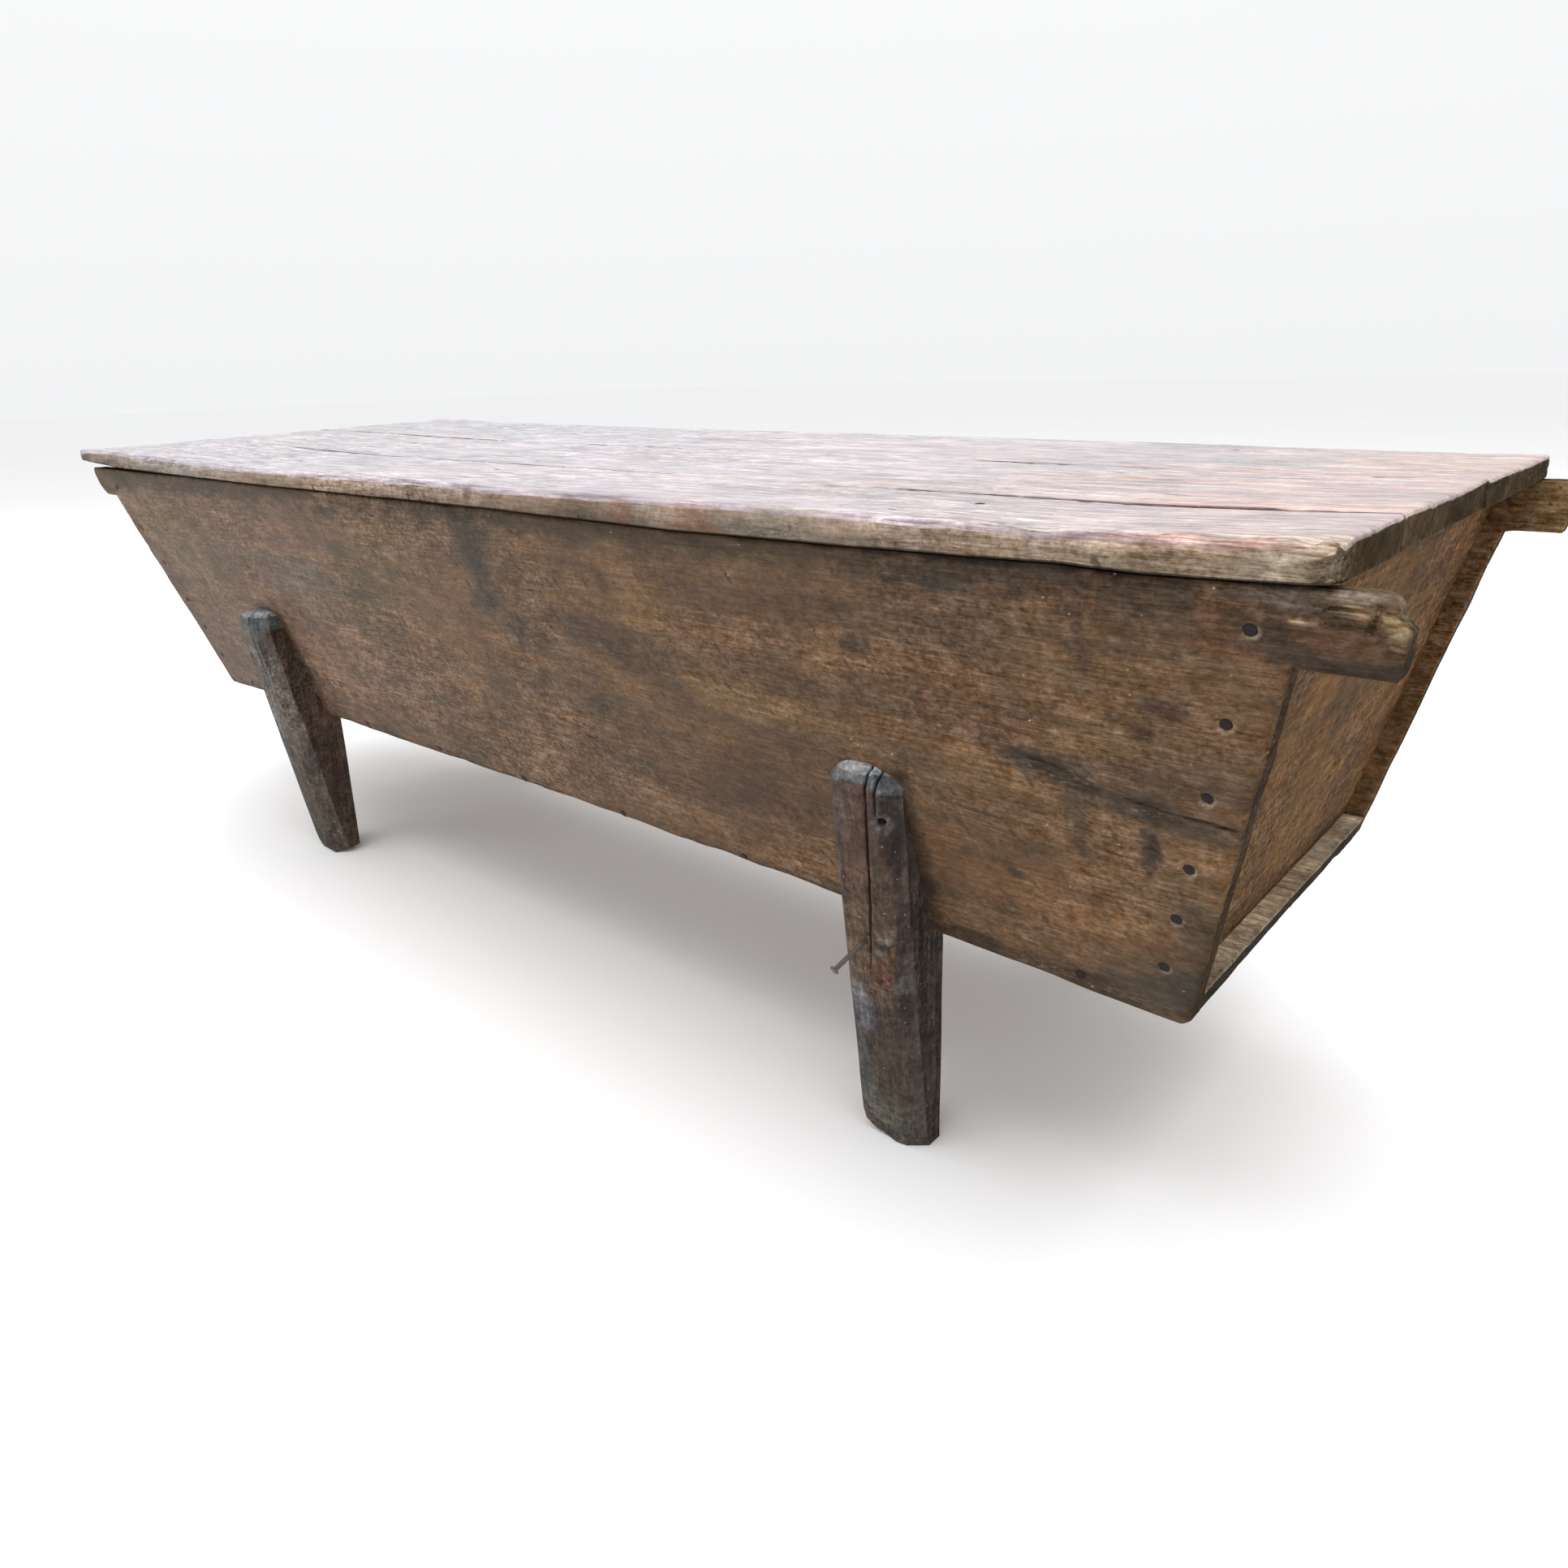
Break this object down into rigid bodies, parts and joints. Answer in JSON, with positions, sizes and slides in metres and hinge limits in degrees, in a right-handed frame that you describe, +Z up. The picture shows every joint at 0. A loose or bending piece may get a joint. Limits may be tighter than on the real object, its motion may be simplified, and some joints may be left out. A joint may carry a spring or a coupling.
{
  "type": "dough box",
  "caption": "Long antique kneading trough of nailed wide planks with sloping sides, carrying ears and wedge legs, under a plank lid hinged at the back.",
  "frame": {"origin": "centre of the object's footprint box, on the floor", "axes": "+X to the right along the trough, seen from the front; -Y is the front, where the lid opens; +Z up"},
  "size_m": [1.9304, 0.6904, 0.61],
  "materials": {
    "long_boards": "old mid-brown wood, dry and stained, with a worn, dull surface",
    "end_boards": "old reddish brown wood, dull, with slanting streaks",
    "bottom_planks": "bare old wood, grey-brown",
    "legs": "dark brown split hardwood with open cracks and a paler, greyed top end",
    "lid_planks": "scrubbed pale wood, greyed to a pinkish tone",
    "battens": "bare old wood, brown",
    "forged_nails": "dark forged iron, dull",
    "wire_nails": "weathered steel wire, pale rust",
    "hinges": "dark forged iron with brown rust"
  },
  "bodies": {
    "trough": {"front_board": "long_boards", "back_board": "long_boards", "left_end_board": "end_boards", "right_end_board": "end_boards", "front_bottom_plank": "bottom_planks", "back_bottom_plank": "bottom_planks", "front_left_leg": "legs", "front_right_leg": "legs", "back_left_leg": "legs", "back_right_leg": "legs", "front_corner_nails": "forged_nails", "back_corner_nails": "forged_nails", "front_bottom_nails": "forged_nails", "back_bottom_nails": "forged_nails", "end_board_nails": "forged_nails", "front_leg_nails": "forged_nails", "back_leg_nails": "forged_nails", "bent_nail": "wire_nails", "proud_nail": "wire_nails", "left_hinge_frame_leaf": "hinges", "right_hinge_frame_leaf": "hinges", "left_hinge_pin": "hinges", "right_hinge_pin": "hinges", "hinge_frame_nails": "forged_nails"},
    "lid": {"lid_front_plank": "lid_planks", "lid_middle_plank": "lid_planks", "lid_back_plank": "lid_planks", "left_batten": "battens", "middle_batten": "battens", "right_batten": "battens", "batten_nails": "forged_nails", "left_hinge_lid_leaf": "hinges", "right_hinge_lid_leaf": "hinges", "hinge_lid_nails": "forged_nails"}
  },
  "joints": [
    {"name": "lid_hinge", "type": "hinge", "parent": "trough", "child": "lid", "pos_m": [0, 0.33973, 0.586], "axis": [-1, 0, 0], "range_deg": [0, 105]}
  ]
}
